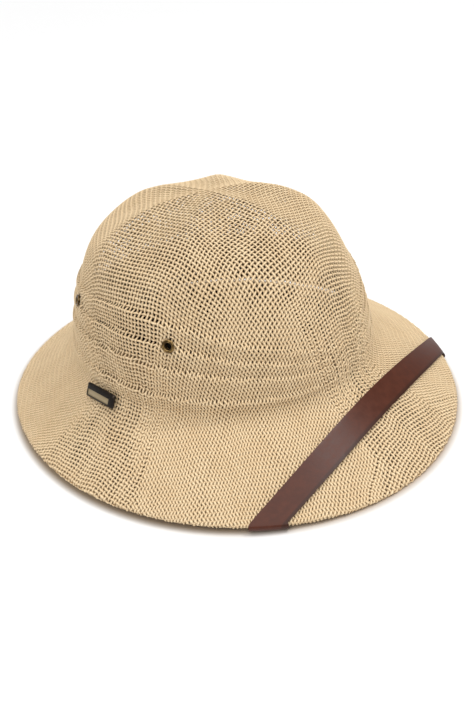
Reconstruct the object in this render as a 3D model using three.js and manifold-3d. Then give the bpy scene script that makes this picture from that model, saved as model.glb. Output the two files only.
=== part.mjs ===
// Pith helmet of pressed woven straw: a one-piece crown and brim, a sweatband inside the crown,
// four ventilation eyelets, a small plain bar pin and a leather strap worn over the front of the brim.
// Millimetres, Z up, front towards -Y, standing on the edge of its brim, origin under the middle.

import * as THREE from 'three';
import { mergeVertices } from 'three/addons/utils/BufferGeometryUtils.js';
import Module from 'manifold-3d';

const wasm = await Module();
wasm.setup();

// Plan of the hat, half sizes to the middle of the wall
const brimHalfLength = 152.8;
const brimHalfWidth = 131.1;
const crownHalfLength = 99.8;
const crownHalfWidth = 89.1;
const peakForward = 4.2; // the six ridges meet this far in front of the middle

// Heights of the middle of the wall above the surface the hat stands on
const edgeFrontHeight = 1.0;
const edgeSideLift = 4.0; // the brim rises this much from its front and back to its sides
const edgeFlatShare = 0.13; // share of the half width, front and back, that lies flat
const creaseFrontHeight = 32.3;
const creaseSideHeight = 34.3;
const creaseBackHeight = 30.5;

// The woven shell
const wall = 1.8;
const hemExtra = 0.8; // the edge is turned under, which thickens the last of the brim
const brimSag = 0.1;
const soleCut = 0.35; // how deep the edge is flattened where the hat stands on it

// Crown profile along a ridge: share of the plan at the crease, rise above the crease,
// and how far the panel between two ridges lies behind them
const crownRows = [
  { share: 1.0, rise: 0, dip: 0 },
  { share: 0.97, rise: 18, dip: 0 },
  { share: 0.87, rise: 48, dip: -1.0 },
  { share: 0.73, rise: 77.3, dip: 2.2 },
  { share: 0.6, rise: 86.7, dip: 3.8 },
  { share: 0.46, rise: 92.9, dip: 3.3 },
  { share: 0.25, rise: 97.9, dip: 1.7 },
  { share: 0, rise: 99.3, dip: 0 },
];
const ridgeAzimuths = [0, 59, 121, 180]; // degrees from the front, alike on both sides
const ridgeRounding = 0.12;
const filletReach = 7; // the crown turns into the brim over this length on either side

// Pressed pleats round the lower crown: the height of each ridge above the crease at the side,
// and how much of that height, and of the pleats' depth, is left further round
const pleatRises = [15, 33, 45.5, 58.5];
const pleatFoot = 6;
const pleatDepth = 2.4;
const pleatStep = 0.14; // share of a pleat over which its upper edge falls back
const pleatLifts = [
  { azimuth: 0, lift: 0.33 },
  { azimuth: 28, lift: 0.59 },
  { azimuth: 59, lift: 0.86 },
  { azimuth: 90, lift: 1.0 },
  { azimuth: 121, lift: 0.89 },
  { azimuth: 150, lift: 0.84 },
  { azimuth: 180, lift: 0.82 },
];

// Mesh density
const columnsPerPanel = 10;
const brimRows = 6;
const hemLevel = 0.92; // the turned hem is full out from here, as a share of the brim
const hemEndLevel = 0.76; // and has run out here
const footLevel = 0.12; // the row where the straight of the crown begins
const filletRows = 3;
const domeRows = 7;

// Eyelets, on the middle of the wall
const eyelets = [
  { name: 'eyelet_right_side', azimuth: 68, rise: 43.8 },
  { name: 'eyelet_right_rear', azimuth: 128.3, rise: 44.8 },
  { name: 'eyelet_left_side', azimuth: -68, rise: 43.8 },
  { name: 'eyelet_left_rear', azimuth: -128.3, rise: 44.8 },
];
const eyeletFlangeRadius = 3.7;
const eyeletHoleRadius = 1.9;
const eyeletBarrelRadius = 2.3;
const eyeletFlangeHeight = 0.7;
const eyeletSeatRadius = 4.3; // round this the straw is pressed flat
const eyeletSeatOverlap = 0.2;
const eyeletCut = 4; // the cuts for an eyelet reach this far either side of the wall
const eyeletSegments = 16;
const eyeletUnderRadius = 3.3; // inside the hat the barrel is rolled over to this radius
const eyeletUnderHeight = 0.4;
const eyeletCrownRadius = 3.0; // the flange is highest from here inwards
const eyeletMouthRadius = 2.4;

// Sweatband
const bandThickness = 1.2;
const bandGap = 0.7;
const bandBottomRise = 3.5;
const bandTopRise = 34;

// Strap
const strapWidth = 13.2;
const strapThickness = 1.2;
const strapFrontY = -115.0; // its middle at the front of the hat
const strapBend = 0.00092; // how it draws back towards its ends
const strapLipAzimuth = 60; // where it turns up into the crown
const strapLipLevel = -0.16;
const strapLipSpread = 11; // degrees that its width covers there
const strapEndRise = 20;
const strapEndDrift = 4; // degrees it moves on while it rises
const strapEndDrop = 0.8; // its upright part starts this far below the sweatband
const strapOverRows = 9; // rows on the brim, round its edge, under it and up into the crown
const strapWrapRows = 6;
const strapUnderRows = 8;
const strapRiseRows = 4;
const strapTurns = [ // its way round the corner under the crease, measured inwards and up from there
  { inwards: -1.5, lift: -2.8 },
  { inwards: 1.8, lift: -1.7 },
  { inwards: 3.5, lift: 0.2 },
];

// Bar pin
const pinAzimuth = 101.2;
const pinLevel = 0; // in the crease
const pinLength = 27;
const pinHeight = 8.4;
const pinThickness = 2;
const pinCorner = 1.2;
const pinTilt = -3.7; // degrees, front end down
const pinPostRadius = 0.6;
const pinPostReach = 3; // the hole for the post reaches this far either side of the wall
const pinPostSegments = 8;
const pinSearch = { turn: 12, lowLevel: -0.3, highLevel: 1.2, step: 0.02, margin: 0.5 }; // where it may touch

const clear = 0.3; // gap kept between touching pieces
const strapClear = 0.45; // a little more under the strap, which crosses the weave's facets
const degrees = Math.PI / 180;
const nearTurn = 0.01; // spacing of the neighbours that slopes are taken from, in radians
const nearLevel = 0.01; // and in levels
const nearEdgeLevel = -0.95;
const nearRise = 2;

// Smooth step from 0 to 1
function ease(value) {
  const share = THREE.MathUtils.clamp(value, 0, 1);
  return share * share * (3 - 2 * share);
}

// Distance from the peak's axis to an oval with its own front and back half lengths
function ovalRadius(azimuth, halfLength, halfWidth) {
  const front = halfLength - peakForward;
  const back = halfLength + peakForward;
  const along = Math.cos(azimuth) > 0 ? front : back;
  return 1 / Math.hypot(Math.cos(azimuth) / along, Math.sin(azimuth) / halfWidth);
}

// A point of the hat from its azimuth, its distance from the peak's axis and its height.
// Azimuth runs from the front towards the wearer's right, which is -X.
function place(azimuth, radius, height) {
  return new THREE.Vector3(
    -radius * Math.sin(azimuth),
    -radius * Math.cos(azimuth) - peakForward,
    height,
  );
}

function edgeHeight(azimuth) {
  const share = (Math.abs(Math.sin(azimuth)) - edgeFlatShare) / (1 - edgeFlatShare);
  return edgeFrontHeight + edgeSideLift * ease(share);
}

function creaseHeight(azimuth) {
  const side = Math.sin(azimuth) ** 2;
  const middle = Math.cos(azimuth) > 0 ? creaseFrontHeight : creaseBackHeight;
  return middle + (creaseSideHeight - middle) * side;
}

// Height lookup in a table of azimuths, eased between its rows
function pleatLift(azimuth) {
  const turn = Math.abs(THREE.MathUtils.euclideanModulo(azimuth / degrees + 180, 360) - 180);
  const after = Math.max(1, pleatLifts.findIndex((row) => row.azimuth >= turn));
  const low = pleatLifts[after - 1];
  const high = pleatLifts[after];
  const share = (turn - low.azimuth) / (high.azimuth - low.azimuth);
  return low.lift + (high.lift - low.lift) * share;
}

// Rise of a pleat coordinate, whose whole numbers are the pleats' ridges
function pleatRise(azimuth, pleat) {
  const lift = pleatLift(azimuth);
  const rises = [pleatFoot, ...pleatRises.map((rise) => pleatFoot + (rise - pleatFoot) * lift)];
  const below = Math.min(Math.floor(pleat), rises.length - 2);
  return rises[below] + (rises[below + 1] - rises[below]) * (pleat - below);
}

// Each pleat leans out slowly up to its ridge and falls back just above it
function pleatRelief(pleat) {
  const fromRidge = pleat - Math.floor(pleat);
  if (pleat >= 1 && fromRidge < pleatStep) {
    return pleatDepth * (1 - fromRidge / pleatStep);
  }
  if (pleat > pleatRises.length) {
    return 0;
  }
  const start = pleat >= 1 ? pleatStep : 0;
  return (pleatDepth * (fromRidge - start)) / (1 - start);
}

// 0 on a ridge of the crown and 1 in the middle of a panel
function panelShare(azimuth) {
  const turn = Math.abs(THREE.MathUtils.euclideanModulo(azimuth / degrees + 180, 360) - 180);
  const after = Math.max(1, ridgeAzimuths.findIndex((ridge) => ridge >= turn - 1e-6));
  const start = ridgeAzimuths[after - 1];
  const share = (turn - start) / (ridgeAzimuths[after] - start);
  return Math.hypot(Math.sin(Math.PI * share), ridgeRounding) - ridgeRounding;
}

const crownCurve = new THREE.CatmullRomCurve3(
  crownRows.map((row) => new THREE.Vector3(row.share, row.rise, row.dip)),
);
const crownRise = crownRows[crownRows.length - 1].rise;

// Curve parameter at a rise, which only grows along the curve
function curveAtRise(rise) {
  let low = 0;
  let high = 1;
  while (high - low > 1e-5) {
    const middle = (low + high) / 2;
    if (crownCurve.getPoint(middle).y < rise) low = middle;
    else high = middle;
  }
  return low;
}

// Middle of the crown's wall, at a place on the profile curve
function crownPoint(azimuth, along, relief = 0) {
  const row = crownCurve.getPoint(along);
  const slope = crownCurve.getTangent(along);
  const plan = ovalRadius(azimuth, crownHalfLength, crownHalfWidth);
  const base = creaseHeight(azimuth);
  const lean = base + (creaseFrontHeight - base) * (row.y / crownRise);
  const outwards = new THREE.Vector2(slope.y, -slope.x * plan).normalize();
  const shift = relief - row.z * panelShare(azimuth);
  const radius = Math.max(row.x * plan + outwards.x * shift, 0);
  return place(azimuth, radius, lean + row.y + outwards.y * shift);
}

// Middle of the brim's wall, from 0 at the crease to 1 at the edge
function brimPoint(azimuth, along) {
  const inner = ovalRadius(azimuth, crownHalfLength, crownHalfWidth);
  const outer = ovalRadius(azimuth, brimHalfLength, brimHalfWidth);
  const drop = along + brimSag * along * (1 - along);
  const base = creaseHeight(azimuth);
  return place(azimuth, inner + (outer - inner) * along, base + (edgeHeight(azimuth) - base) * drop);
}

function brimLength(azimuth) {
  return brimPoint(azimuth, 0).distanceTo(brimPoint(azimuth, 1));
}

// Middle of the wall at a level: -1 at the brim's edge, 0 in the crease, then 1, 2, 3 and 4
// on the pleats' ridges, and 5 at the peak
function middlePoint(azimuth, level) {
  const reach = filletReach / brimLength(azimuth);
  const foot = pleatFoot + 1;
  if (level < -reach) {
    return brimPoint(azimuth, -level);
  }
  if (level < footLevel) {
    const share = (level + reach) / (footLevel + reach);
    const ends = [brimPoint(azimuth, reach), brimPoint(azimuth, 0), crownPoint(azimuth, curveAtRise(foot))];
    return new THREE.QuadraticBezierCurve3(...ends).getPoint(share);
  }
  const pleats = pleatRises.length;
  const top = pleats + pleatStep;
  if (level <= top) {
    const share = (level - footLevel) / (1 - footLevel);
    const rise = level < 1 ? foot + (pleatRise(azimuth, 1) - foot) * share : pleatRise(azimuth, level);
    const relief = level < 1 ? pleatDepth * share : pleatRelief(level);
    return crownPoint(azimuth, curveAtRise(rise), relief * pleatLift(azimuth));
  }
  const from = curveAtRise(pleatRise(azimuth, top));
  return crownPoint(azimuth, from + ((1 - from) * (level - top)) / (pleats + 1 - top));
}

// Levels of the rows from the brim's edge to the peak
function rowLevels() {
  const reach = footLevel;
  const levels = [-1];
  for (let row = 0; row < brimRows; row += 1) {
    levels.push(-hemLevel + ((hemLevel - reach) * row) / (brimRows - 1));
  }
  for (let row = 1; row <= filletRows; row += 1) {
    levels.push(-reach + ((footLevel + reach) * row) / (filletRows + 1));
  }
  levels.push(footLevel, (footLevel + 1) / 2);
  for (let ridge = 1; ridge <= pleatRises.length; ridge += 1) {
    levels.push(ridge, ridge + pleatStep);
    if (ridge < pleatRises.length) levels.push(ridge + 0.57);
  }
  const top = pleatRises.length + pleatStep;
  for (let row = 1; row < domeRows; row += 1) {
    levels.push(top + ((1 - pleatStep) * row) / domeRows);
  }
  return levels;
}

// Azimuths of the columns, with one on every ridge
function columnAzimuths() {
  const azimuths = [];
  const mirrored = ridgeAzimuths.slice(1, -1).reverse().map((ridge) => 360 - ridge);
  const marks = [...ridgeAzimuths, ...mirrored, 360];
  for (let panel = 0; panel + 1 < marks.length; panel += 1) {
    for (let column = 0; column < columnsPerPanel; column += 1) {
      const turn = marks[panel] + ((marks[panel + 1] - marks[panel]) * column) / columnsPerPanel;
      azimuths.push(turn * degrees);
    }
  }
  return azimuths;
}

// Unit normal out of the wall, from neighbours on the middle surface
function outwardNormal(azimuth, level) {
  const around = middlePoint(azimuth + nearTurn, level).sub(middlePoint(azimuth - nearTurn, level));
  const above = middlePoint(azimuth, Math.min(level + nearLevel, 5));
  const up = above.sub(middlePoint(azimuth, Math.max(level - nearLevel, -1)));
  return up.cross(around).normalize();
}

// Extra thickness of the turned hem, under the brim
function hemThickness(level) {
  return hemExtra * THREE.MathUtils.clamp((-level - hemEndLevel) / (hemLevel - hemEndLevel), 0, 1);
}

// Closed solid from rings of points, each ring the same length, with the first and last rings
// closed by a point each or joined to one another
function solidFromRings(rings, joined, startPoint, endPoint) {
  const count = rings[0].length;
  const points = rings.flat();
  const faces = [];
  const pairs = joined ? rings.length : rings.length - 1;
  for (let ring = 0; ring < pairs; ring += 1) {
    const here = ring * count;
    const next = ((ring + 1) % rings.length) * count;
    for (let step = 0; step < count; step += 1) {
      const after = (step + 1) % count;
      faces.push([here + step, next + after, here + after], [here + step, next + step, next + after]);
    }
  }
  if (!joined) {
    points.push(startPoint, endPoint);
    const last = (rings.length - 1) * count;
    for (let step = 0; step < count; step += 1) {
      const after = (step + 1) % count;
      faces.push([points.length - 2, step, after]);
      faces.push([points.length - 1, last + after, last + step]);
    }
  }
  return geometryOf(points, faces);
}

function geometryOf(points, faces) {
  const geometry = new THREE.BufferGeometry();
  const numbers = points.flatMap((point) => [point.x, point.y, point.z]);
  geometry.setAttribute('position', new THREE.Float32BufferAttribute(numbers, 3));
  geometry.setIndex(faces.flat());
  return geometry;
}

// Conversions to and from the boolean library
function toSolid(geometry) {
  const bare = geometry.clone();
  bare.deleteAttribute('normal');
  bare.deleteAttribute('uv');
  const merged = mergeVertices(bare, 1e-4);
  return new wasm.Manifold(new wasm.Mesh({
    numProp: 3,
    vertProperties: new Float32Array(merged.attributes.position.array),
    triVerts: new Uint32Array(merged.index.array),
  }));
}

function toGeometry(solid) {
  const mesh = solid.getMesh();
  const geometry = new THREE.BufferGeometry();
  geometry.setAttribute('position', new THREE.Float32BufferAttribute(mesh.vertProperties, 3));
  geometry.setIndex(Array.from(mesh.triVerts));
  return geometry;
}

// A cylinder whose axis lies along a direction through a point, between two distances along it
function rodSolid(point, direction, radius, from, to, segments = eyeletSegments) {
  const geometry = new THREE.CylinderGeometry(radius, radius, to - from, segments);
  geometry.translate(0, (from + to) / 2, 0);
  const turn = new THREE.Quaternion().setFromUnitVectors(new THREE.Vector3(0, 1, 0), direction);
  geometry.applyQuaternion(turn);
  geometry.translate(point.x, point.y, point.z);
  return toSolid(geometry);
}

// Frame of an eyelet: the middle of the wall without its pleats, and the way out
function eyeletFrame(eyelet) {
  const azimuth = eyelet.azimuth * degrees;
  const along = curveAtRise(eyelet.rise);
  const half = pleatDepth / 2;
  const middle = crownPoint(azimuth, along, half);
  const left = crownPoint(azimuth + nearTurn, along, half);
  const around = left.sub(crownPoint(azimuth - nearTurn, along, half));
  const up = crownPoint(azimuth, curveAtRise(eyelet.rise + nearRise), half).sub(middle);
  return { middle, outwards: up.cross(around).normalize() };
}

// Frame of the bar pin, where the crown turns into the brim
function pinFrame() {
  const azimuth = pinAzimuth * degrees;
  const outwards = outwardNormal(azimuth, pinLevel);
  const middle = middlePoint(azimuth, pinLevel);
  const forwards = new THREE.Vector3(0, -1, 0);
  forwards.addScaledVector(outwards, -forwards.dot(outwards)).normalize();
  const up = forwards.clone().cross(outwards).multiplyScalar(-1).normalize();
  return { middle, outwards, forwards, up };
}

function strawBody() {
  const azimuths = columnAzimuths();
  const levels = rowLevels();
  const outside = levels.map((level) => azimuths.map((azimuth) => {
    return middlePoint(azimuth, level).addScaledVector(outwardNormal(azimuth, level), wall / 2);
  }));
  const inside = levels.map((level) => azimuths.map((azimuth) => {
    const depth = wall / 2 + hemThickness(level);
    return middlePoint(azimuth, level).addScaledVector(outwardNormal(azimuth, level), -depth);
  }));
  const nose = azimuths.map((azimuth) => {
    const edge = middlePoint(azimuth, -1);
    const away = edge.clone().sub(middlePoint(azimuth, nearEdgeLevel)).normalize();
    const down = outwardNormal(azimuth, -1).multiplyScalar(-hemExtra / 2);
    return edge.add(down).addScaledVector(away, wall / 2);
  });
  const rings = [...inside.reverse(), nose, ...outside];
  const peak = middlePoint(0, 5);
  const underPeak = peak.clone().setZ(peak.z - wall / 2);
  const overPeak = peak.clone().setZ(peak.z + wall / 2);
  let solid = toSolid(solidFromRings(rings, false, underPeak, overPeak));

  const soleDepth = 4;
  const floorBlock = new THREE.BoxGeometry(3 * brimHalfWidth, 3 * brimHalfLength, soleDepth);
  floorBlock.translate(0, 0, lowestPoint(solid) + soleCut - soleDepth / 2);
  solid = solid.subtract(toSolid(floorBlock));

  for (const eyelet of eyelets) {
    const { middle, outwards } = eyeletFrame(eyelet);
    const seat = rodSolid(middle, outwards, eyeletSeatRadius + eyeletSeatOverlap, -wall / 2, wall / 2);
    const hole = rodSolid(middle, outwards, eyeletBarrelRadius + clear, -eyeletCut, eyeletCut);
    solid = solid.subtract(rodSolid(middle, outwards, eyeletSeatRadius, -eyeletCut, eyeletCut));
    solid = solid.add(seat).subtract(hole);
  }
  const pin = pinFrame();
  const postRadius = pinPostRadius + clear;
  return solid.subtract(
    rodSolid(pin.middle, pin.outwards, postRadius, -pinPostReach, pinPostReach, pinPostSegments),
  );
}

function lowestPoint(solid) {
  return solid.boundingBox().min[2];
}

function eyeletGeometry() {
  const top = wall / 2 + clear;
  const under = -top;
  const roll = eyeletFlangeHeight;
  const profile = [
    [eyeletHoleRadius, under - eyeletUnderHeight],
    [eyeletUnderRadius, under - eyeletUnderHeight],
    [eyeletUnderRadius, under],
    [eyeletBarrelRadius, under],
    [eyeletBarrelRadius, top],
    [eyeletFlangeRadius, top],
    [eyeletFlangeRadius, top + roll / 3],
    [eyeletCrownRadius, top + roll],
    [eyeletMouthRadius, top + roll],
    [eyeletHoleRadius, top + roll / 3],
    [eyeletHoleRadius, under - eyeletUnderHeight],
  ];
  return new THREE.LatheGeometry(profile.map(([x, y]) => new THREE.Vector2(x, y)), eyeletSegments);
}

function sweatbandGeometry() {
  const azimuths = columnAzimuths();
  const rises = [bandBottomRise, (bandBottomRise + bandTopRise) / 2, bandTopRise];
  const outer = wall / 2 + bandGap;
  const ring = (rise, depth) => azimuths.map((azimuth) => crownPoint(azimuth, curveAtRise(rise), -depth));
  const outside = rises.map((rise) => ring(rise, outer));
  const inside = rises.map((rise) => ring(rise, outer + bandThickness));
  return solidFromRings([...inside.reverse(), ...outside], true);
}

// Middle line of the strap on the brim, at a sideways place across its width
function strapPlanY(x, across) {
  return strapFrontY + strapBend * x * x + across;
}

// Azimuth and brim level under a point of the plan
function brimAddress(x, y) {
  const azimuth = Math.atan2(-x, -(y + peakForward));
  const radius = Math.hypot(x, y + peakForward);
  const inner = ovalRadius(azimuth, crownHalfLength, crownHalfWidth);
  const outer = ovalRadius(azimuth, brimHalfLength, brimHalfWidth);
  return { azimuth, level: -(radius - inner) / (outer - inner) };
}

// Where a line of the strap reaches the brim's edge, on the side with this sign
function strapEdgeX(side, across) {
  let x = 0;
  const step = 0.05;
  while (brimAddress(x, strapPlanY(x, across)).level > -1) x += side * step;
  return x;
}

// Stations of one line of the strap on one side, from the front middle to its end in the crown
function strapLine(side, across) {
  const share = across / (strapWidth / 2);
  const stations = [];
  const add = (azimuth, level, depth, away = 0) => {
    const normal = outwardNormal(azimuth, level);
    const point = middlePoint(azimuth, level).addScaledVector(normal, depth);
    if (away) {
      const out = middlePoint(azimuth, -1).sub(middlePoint(azimuth, nearEdgeLevel)).normalize();
      point.addScaledVector(out, away);
    }
    stations.push(point);
  };

  const over = wall / 2 + strapClear + strapThickness / 2;
  const edgeX = strapEdgeX(side, across);
  for (let row = 0; row < strapOverRows; row += 1) {
    const x = (edgeX * row) / strapOverRows;
    const { azimuth, level } = brimAddress(x, strapPlanY(x, across));
    add(azimuth, level, over);
  }

  const edge = brimAddress(edgeX, strapPlanY(edgeX, across));
  const wrapRadius = (wall + hemExtra) / 2 + strapClear + strapThickness / 2;
  for (let row = 0; row <= strapWrapRows; row += 1) {
    const turn = (Math.PI * row) / strapWrapRows;
    const away = wrapRadius * Math.sin(turn);
    add(edge.azimuth, -1, wrapRadius * Math.cos(turn) - hemExtra / 2, away);
  }

  const lipAzimuth = -side * (strapLipAzimuth - (share * strapLipSpread) / 2) * degrees;
  const lip = middlePoint(lipAzimuth, strapLipLevel);
  const edgePoint = middlePoint(edge.azimuth, -1);
  for (let row = 1; row <= strapUnderRows; row += 1) {
    const x = THREE.MathUtils.lerp(edgePoint.x, lip.x, row / strapUnderRows);
    const y = THREE.MathUtils.lerp(edgePoint.y, lip.y, row / strapUnderRows);
    const { azimuth, level } = brimAddress(x, y);
    const depth = wall / 2 + hemThickness(level) + strapClear + strapThickness / 2;
    add(azimuth, level, -depth);
  }
  const crease = brimPoint(lipAzimuth, 0);
  const inwards = place(lipAzimuth, -1, 0).sub(place(lipAzimuth, 0, 0));
  for (const turn of strapTurns) {
    stations.push(crease.clone().addScaledVector(inwards, turn.inwards).setZ(crease.z + turn.lift));
  }
  const inDepth = wall / 2 + bandGap + bandThickness + 2 * clear + strapThickness / 2;
  for (let row = 0; row <= strapRiseRows; row += 1) {
    const part = row / strapRiseRows;
    const azimuth = lipAzimuth - side * part * strapEndDrift * degrees;
    const rise = THREE.MathUtils.lerp(bandBottomRise - strapEndDrop, strapEndRise, part);
    stations.push(crownPoint(azimuth, curveAtRise(rise), -inDepth));
  }
  return stations;
}

function strapGeometry() {
  const acrossLines = [-1, -0.5, 0, 0.5, 1].map((share) => (share * strapWidth) / 2);
  const lines = acrossLines.map((across) => {
    const right = strapLine(-1, across).slice(1).reverse();
    return [...right, ...strapLine(1, across)];
  });
  const rows = lines[0].length;
  const last = lines.length - 1;
  const rings = [];
  for (let row = 0; row < rows; row += 1) {
    const before = Math.max(row - 1, 0);
    const after = Math.min(row + 1, rows - 1);
    const shift = lines.map((line, index) => {
      const along = line[after].clone().sub(line[before]);
      const across = lines[Math.min(index + 1, last)][row].clone().sub(lines[Math.max(index - 1, 0)][row]);
      return along.cross(across).normalize().multiplyScalar(strapThickness / 2);
    });
    const top = lines.map((line, index) => line[row].clone().add(shift[index]));
    const under = lines.map((line, index) => line[row].clone().sub(shift[index]));
    rings.push([...top, ...under.reverse()]);
  }
  return stripSolid(rings);
}

// Closed solid along rings of points, with flat ends cut by triangles between their two sides
function stripSolid(rings) {
  const count = rings[0].length;
  const points = rings.flat();
  const faces = [];
  for (let ring = 0; ring + 1 < rings.length; ring += 1) {
    for (let step = 0; step < count; step += 1) {
      const after = (step + 1) % count;
      const here = ring * count;
      const next = here + count;
      faces.push([here + step, next + after, here + after], [here + step, next + step, next + after]);
    }
  }
  const last = (rings.length - 1) * count;
  for (let step = 0; step + 1 < count / 2; step += 1) {
    const mirror = count - 1 - step;
    faces.push([step, step + 1, mirror - 1], [step, mirror - 1, mirror]);
    faces.push([last + step, last + mirror - 1, last + step + 1]);
    faces.push([last + step, last + mirror, last + mirror - 1]);
  }
  return geometryOf(points, faces);
}

// Plain bar with rounded corners and a post into the straw
function pinSolid() {
  const { middle, outwards, forwards, up } = pinFrame();
  const half = { x: pinLength / 2, y: pinHeight / 2 };
  const outline = new THREE.Shape();
  outline.moveTo(-half.x + pinCorner, -half.y);
  outline.lineTo(half.x - pinCorner, -half.y);
  outline.absarc(half.x - pinCorner, -half.y + pinCorner, pinCorner, -Math.PI / 2, 0);
  outline.absarc(half.x - pinCorner, half.y - pinCorner, pinCorner, 0, Math.PI / 2);
  outline.absarc(-half.x + pinCorner, half.y - pinCorner, pinCorner, Math.PI / 2, Math.PI);
  outline.absarc(-half.x + pinCorner, -half.y + pinCorner, pinCorner, Math.PI, Math.PI * 1.5);
  const extrusion = { depth: pinThickness, bevelEnabled: false, curveSegments: 3 };
  const bar = new THREE.ExtrudeGeometry(outline, extrusion);
  bar.rotateZ(-pinTilt * degrees);
  const standOff = wall / 2 + pinStandOff();
  bar.applyMatrix4(new THREE.Matrix4().makeBasis(forwards, up, outwards));
  const seat = middle.clone().addScaledVector(outwards, standOff);
  bar.translate(seat.x, seat.y, seat.z);
  const postEnd = standOff + pinThickness / 2;
  const post = rodSolid(middle, outwards, pinPostRadius, -wall / 2 - 0.1, postEnd, pinPostSegments);
  return toSolid(bar).add(post);
}

// Clearance that the bar needs over the round foot of the crown
function pinStandOff() {
  const { middle, outwards, forwards, up } = pinFrame();
  const tilt = pinTilt * degrees;
  const along = forwards.clone().multiplyScalar(Math.cos(tilt)).addScaledVector(up, -Math.sin(tilt));
  const across = forwards.clone().multiplyScalar(Math.sin(tilt)).addScaledVector(up, Math.cos(tilt));
  let highest = 0;
  const { lowLevel, highLevel, step, margin } = pinSearch;
  for (let turn = -pinSearch.turn; turn <= pinSearch.turn; turn += 1) {
    for (let level = lowLevel; level < highLevel; level += step) {
      const azimuth = (pinAzimuth + turn) * degrees;
      const point = middlePoint(azimuth, level).addScaledVector(outwardNormal(azimuth, level), wall / 2);
      const from = point.sub(middle);
      const inLength = Math.abs(from.dot(along)) < pinLength / 2 + margin;
      const inHeight = Math.abs(from.dot(across)) < pinHeight / 2 + margin;
      if (inLength && inHeight) highest = Math.max(highest, from.dot(outwards) - wall / 2);
    }
  }
  return highest + clear;
}

function material(color, roughness, metalness) {
  return new THREE.MeshStandardMaterial({ color, roughness, metalness });
}
const straw = material('#d6bb8c', 0.8, 0);
const leather = material('#5e3429', 0.45, 0);
const brass = material('#5a4a2c', 0.4, 1);
const cloth = material('#b79a6c', 0.9, 0);
const darkMetal = material('#3a3430', 0.4, 1);

const hat = new THREE.Group();

function addMesh(name, geometry, finish) {
  const mesh = new THREE.Mesh(geometry, finish);
  mesh.name = name;
  hat.add(mesh);
  return mesh;
}

const bodySolid = strawBody();
addMesh('straw_body', toGeometry(bodySolid), straw);
addMesh('sweatband', sweatbandGeometry(), cloth);
addMesh('chin_strap', strapGeometry(), leather);
for (const eyelet of eyelets) {
  const { middle, outwards } = eyeletFrame(eyelet);
  const mesh = addMesh(eyelet.name, eyeletGeometry(), brass);
  mesh.position.copy(middle);
  mesh.quaternion.setFromUnitVectors(new THREE.Vector3(0, 1, 0), outwards);
}
addMesh('side_pin', toGeometry(pinSolid()), darkMetal);

hat.position.z = -lowestPoint(bodySolid);

export default hat;
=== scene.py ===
import math
import bpy
import numpy as np
from mathutils import Matrix, Vector


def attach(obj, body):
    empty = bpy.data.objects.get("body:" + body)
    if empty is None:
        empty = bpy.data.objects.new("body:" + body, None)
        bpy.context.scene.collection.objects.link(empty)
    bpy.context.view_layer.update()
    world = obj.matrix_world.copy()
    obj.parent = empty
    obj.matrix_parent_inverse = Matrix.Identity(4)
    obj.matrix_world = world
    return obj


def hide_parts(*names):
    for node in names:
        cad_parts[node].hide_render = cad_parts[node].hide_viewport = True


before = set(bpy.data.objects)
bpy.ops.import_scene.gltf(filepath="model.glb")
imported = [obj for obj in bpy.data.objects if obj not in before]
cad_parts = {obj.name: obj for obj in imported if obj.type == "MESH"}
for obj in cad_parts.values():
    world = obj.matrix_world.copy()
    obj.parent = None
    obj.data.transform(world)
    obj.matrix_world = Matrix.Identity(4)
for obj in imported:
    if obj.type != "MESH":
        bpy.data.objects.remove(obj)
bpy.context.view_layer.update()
mm = 0.001

# Camera at the photograph's angle: front right, from above, close by
view = {
    "azimuth": -47.4, "elevation": 33.35, "roll": -6.9,
    "distance": 429.2, "across": 12.1, "down": 48.0, "aimHeight": 75.4, "aimBack": -4.2,
    "lens": 52.8, "sensor": 36.0, "nearest": 0.01,
}


def addCamera():
    azimuth, elevation, roll = (math.radians(view[k]) for k in ("azimuth", "elevation", "roll"))
    level = math.cos(elevation)
    back = Vector((math.sin(azimuth) * level, -math.cos(azimuth) * level, math.sin(elevation)))
    right = Vector((math.cos(azimuth), math.sin(azimuth), 0))
    up = back.cross(right)
    rightRolled = right * math.cos(roll) + up * math.sin(roll)
    upRolled = up * math.cos(roll) - right * math.sin(roll)
    aim = Vector((0, view["aimBack"], view["aimHeight"]))
    aim = aim + rightRolled * view["across"] - upRolled * view["down"]
    place = (aim + back * view["distance"]) * mm
    camera = bpy.data.cameras.new("camera")
    camera.lens = view["lens"]
    camera.sensor_width = view["sensor"]
    camera.sensor_fit = "HORIZONTAL"
    camera.clip_start = view["nearest"]
    holder = bpy.data.objects.new("camera", camera)
    turn = Matrix((rightRolled, upRolled, back)).transposed().to_4x4()
    holder.matrix_world = Matrix.Translation(place) @ turn
    bpy.context.scene.collection.objects.link(holder)
    bpy.context.scene.camera = holder


addCamera()
print("camera placed")


# Material building: a Signal is a value in a material that sums can be written on
class Signal:
    def __init__(self, finish, socket):
        self.finish, self.socket = finish, socket

    def combine(self, operation, one, two):
        return self.finish.node("ShaderNodeMath", {"operation": operation}, {0: one, 1: two})

    def __add__(self, other):
        return self.combine("ADD", self, other)

    def __sub__(self, other):
        return self.combine("SUBTRACT", self, other)

    def __rsub__(self, other):
        return self.combine("SUBTRACT", other, self)

    def __mul__(self, other):
        return self.combine("MULTIPLY", self, other)


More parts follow.
